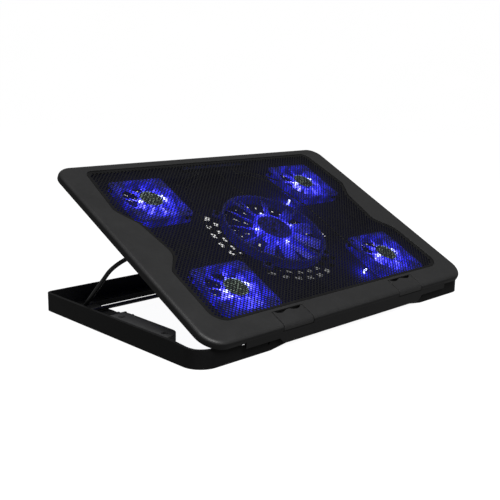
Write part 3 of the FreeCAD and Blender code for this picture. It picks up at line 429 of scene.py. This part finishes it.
def fine_sheet():
    from mathutils.geometry import delaunay_2d_cdt
    top, t, H, R = -0.7, 0.4, 2.15, 1.50          # top face, thickness, half pitch, half diagonal of a hole
    loop = shrink(sheet_outline("mesh_panel", top), 0.5)
    segs = list(zip(loop, loop[1:] + loop[:1]))
    lo = (min(p[0] for p in loop), min(p[1] for p in loop)); hi = (max(p[0] for p in loop), max(p[1] for p in loop))
    def inside(x, y):
        odd = False
        for (x1, y1), (x2, y2) in segs:
            if (y1 > y) != (y2 > y) and x < (x2 - x1) * (y - y1) / (y2 - y1) + x1:
                odd = not odd
        return odd
    def gap(x, y):
        best = 1e9
        for (x1, y1), (x2, y2) in segs:
            dx, dy = x2 - x1, y2 - y1
            k = max(0.0, min(1.0, ((x - x1) * dx + (y - y1) * dy) / (dx * dx + dy * dy)))
            best = min(best, (x - x1 - k * dx) ** 2 + (y - y1 - k * dy) ** 2)
        return math.sqrt(best)
    y0 = (lo[1] + hi[1]) / 2
    known = {}
    def ok(i, j):
        if (i, j) not in known:
            x, y = i * H, y0 + j * H
            known[(i, j)] = inside(x, y) and gap(x, y) > 1.1
        return known[(i, j)]
    ni = int(hi[0] / H) + 2; nj = int((hi[1] - lo[1]) / 2 / H) + 2
    cells = [(i, j) for j in range(-nj, nj + 1) for i in range(-ni, ni + 1)
             if (i + j) % 2 == 0 and ok(i + 1, j) and ok(i - 1, j) and ok(i, j + 1) and ok(i, j - 1)]
    full = set(cells)
    used = {}
    for i, j in cells:
        c = [(i + 1, j), (i, j + 1), (i - 1, j), (i, j - 1)]
        for a, b in zip(c, c[1:] + c[:1]):
            k = (min(a, b), max(a, b)); used[k] = used.get(k, 0) + 1
    rim = [k for k, n in used.items() if n == 1]
    pos, idx, verts = {}, [], []
    def vid(k):
        if k not in pos:
            pos[k] = len(verts); verts.append(Vector((k[0] * H, y0 + k[1] * H)))
        return pos[k]
    rim_e = [(vid(a), vid(b)) for a, b in rim]
    n_rim = len(verts)
    keys = [None] * n_rim
    for k, v in pos.items():
        keys[v] = k
    o0 = len(verts)
    verts += [Vector(p) for p in loop]
    edges_ = rim_e + [(o0 + i, o0 + (i + 1) % len(loop)) for i in range(len(loop))]
    res = delaunay_2d_cdt(verts, edges_, [], 1, 1e-5)
    rv, rf, src = res[0], res[2], res[3]
    bm = bmesh.new()
    grid = {}
    def layer(key, x, y, w):
        if key not in grid:
            grid[key] = bm.verts.new(T(x, y, w))
        return grid[key]
    levels = (top, top - t)
    def rv_key(i):
        for q in src[i]:
            if q < n_rim:
                return ("g",) + keys[q]
        return ("o", round(rv[i].x, 4), round(rv[i].y, 4))
    rim_faces = []
    for f in rf:
        cx = sum(rv[i].x for i in f) / len(f); cy = sum(rv[i].y for i in f) / len(f)
        X, Y = cx / H, (cy - y0) / H
        a, b = round((X + Y) / 2), round((X - Y) / 2)
        if (a + b, a - b) in full or not inside(cx, cy):
            continue
        rim_faces.append([(rv_key(i), rv[i].x, rv[i].y) for i in f])
    for L, w in enumerate(levels):
        for f in rim_faces:
            vs = [layer((k, L), x, y, w) for k, x, y in f]
            if len(set(vs)) == len(vs):
                bm.faces.new(vs if L == 0 else vs[::-1])
    for i, j in cells:
        c = [(i + 1, j), (i, j + 1), (i - 1, j), (i, j - 1)]
        h = [(i * H + R, y0 + j * H), (i * H, y0 + j * H + R), (i * H - R, y0 + j * H), (i * H, y0 + j * H - R)]
        ring = []
        for L, w in enumerate(levels):
            ov = [layer((("g",) + k, L), k[0] * H, y0 + k[1] * H, w) for k in c]
            iv = [bm.verts.new(T(x, y, w)) for x, y in h]
            ring.append(iv)
            for q in range(4):
                r = (q + 1) % 4
                f = [ov[q], ov[r], iv[r], iv[q]]
                bm.faces.new(f if L == 0 else f[::-1])
        for q in range(4):
            r = (q + 1) % 4
            bm.faces.new([ring[0][q], ring[0][r], ring[1][r], ring[1][q]])
    # outer wall
    edge_len = [e for e in bm.edges if len(e.link_faces) == 1]
    tops = {}
    for k, v in grid.items():
        tops[v] = k
    for e in edge_len:
        a, b = e.verts
        ka, kb = tops.get(a), tops.get(b)
        if ka and kb and ka[1] == 0 and kb[1] == 0:
            a2, b2 = grid[(ka[0], 1)], grid[(kb[0], 1)]
            bm.faces.new([a, b, b2, a2])
    bmesh.ops.recalc_face_normals(bm, faces=bm.faces)
    me = bpy.data.meshes.new("deck_mesh"); bm.to_mesh(me); bm.free()
    o = bpy.data.objects.new("deck_mesh", me); COL.objects.link(o)
    me.materials.append(M["mesh"])
    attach(o, "tray"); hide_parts("mesh_panel")
    bad = sum(1 for n in used.values() if n > 2)
    print("deck_mesh cells", len(cells), "polygons", len(me.polygons), "rim faces", len(rim_faces), "bad", bad)
    return o
fine_sheet()

# ---------------------------------------------------------------- floor, light
def floor():
    bm = bmesh.new()
    # flat floor that curls up into a wall far behind
    prof = [(-6.0, 0.0)] + [(3.2 + 1.6 * math.sin(a), 1.6 - 1.6 * math.cos(a)) for a in [math.radians(i * 7.5) for i in range(13)]] + [(4.8, 6.0)]
    rows = []
    d = Vector((0.7, 0.714, 0)); s = Vector((0.714, -0.7, 0))
    for y, z in prof:
        rows.append([bm.verts.new(d * y + s * x + Vector((0, 0, z))) for x in (-9, -3, 0, 3, 9)])
    for a, b in zip(rows, rows[1:]):
        for i in range(4):
            bm.faces.new((a[i], a[i + 1], b[i + 1], b[i]))
    me = bpy.data.meshes.new("floor"); bm.to_mesh(me); bm.free()
    for p in me.polygons:
        p.use_smooth = True
    o = bpy.data.objects.new("floor", me); COL.objects.link(o)
    nt = NT("floor_paper")
    nt.link(nt.ramp(nt.noise(3.0, 3.0), [(0.3, (0.24, 0.24, 0.24)), (0.7, (0.26, 0.26, 0.26))]), nt.b.inputs["Base Color"])
    nt.b.inputs["Roughness"].default_value = 0.9
    nt.b.inputs["Specular IOR Level"].default_value = 0.05
    nt.b.inputs["Emission Color"].default_value = (1, 1, 1, 1)
    # the patch right under the pad lies in its shade
    mp = nt.n("ShaderNodeMapping")
    mp.inputs["Location"].default_value = (-0.085 / 0.13, -0.070 / 0.085, 0.0)
    mp.inputs["Scale"].default_value = (1 / 0.13, 1 / 0.085, 0.0)
    nt.link(nt.co, mp.inputs["Vector"])
    ln = nt.n("ShaderNodeVectorMath", operation="LENGTH")
    nt.link(mp.outputs[0], ln.inputs[0])
    nt.link(nt.maprange(ln.outputs["Value"], 0.45, 1.25, 0.22, 0.95), nt.b.inputs["Emission Strength"])
    me.materials.append(nt.m)
    # a seamless sheet that is only a backdrop: it lends the black pieces no light of its own
    o.visible_diffuse = False
    o.visible_glossy = False
floor()

def area(name, loc, aim, size, power, color=(1, 1, 1), sy=None):
    l = bpy.data.lights.new(name, "AREA")
    l.energy = power; l.size = size; l.color = color
    if sy:
        l.shape = "RECTANGLE"; l.size_y = sy
    o = bpy.data.objects.new(name, l); COL.objects.link(o)
    o.location = loc
    o.rotation_euler = (Vector(aim) - Vector(loc)).to_track_quat("-Z", "Y").to_euler()
    return o
w = bpy.data.worlds.new("studio"); scene.world = w
w.use_nodes = True
w.node_tree.nodes["Background"].inputs[0].default_value = (1, 1, 1, 1)
w.node_tree.nodes["Background"].inputs[1].default_value = 0.17
area("softbox", (-0.45, -0.42, 1.30), (-0.05, -0.05, 0.08), 0.75, 8)
area("rim_light", (-0.27, -0.80, 0.80), (-0.15, -0.10, 0.05), 0.50, 7)

# --------------------------------------------------------------------- camera
CAM_POS = Vector((-0.5854, -0.5663, 0.2328))
CAM_BACK = Vector((-0.6840, -0.6975, 0.2137)).normalized()
CAM_RIGHT = Vector((0.7165, -0.6974, 0.0172))
CAM_RIGHT = (CAM_RIGHT - CAM_BACK * CAM_RIGHT.dot(CAM_BACK)).normalized()
CAM_UP = CAM_BACK.cross(CAM_RIGHT)
cd = bpy.data.cameras.new("camera")
cd.sensor_width = 36.0
cd.lens = 57.09
cd.clip_start = 0.01
cam = bpy.data.objects.new("camera", cd); COL.objects.link(cam)
cam.matrix_world = Matrix((
    (CAM_RIGHT.x, CAM_UP.x, CAM_BACK.x, CAM_POS.x),
    (CAM_RIGHT.y, CAM_UP.y, CAM_BACK.y, CAM_POS.y),
    (CAM_RIGHT.z, CAM_UP.z, CAM_BACK.z, CAM_POS.z),
    (0, 0, 0, 1)))
scene.camera = cam
scene.view_settings.view_transform = "Standard"
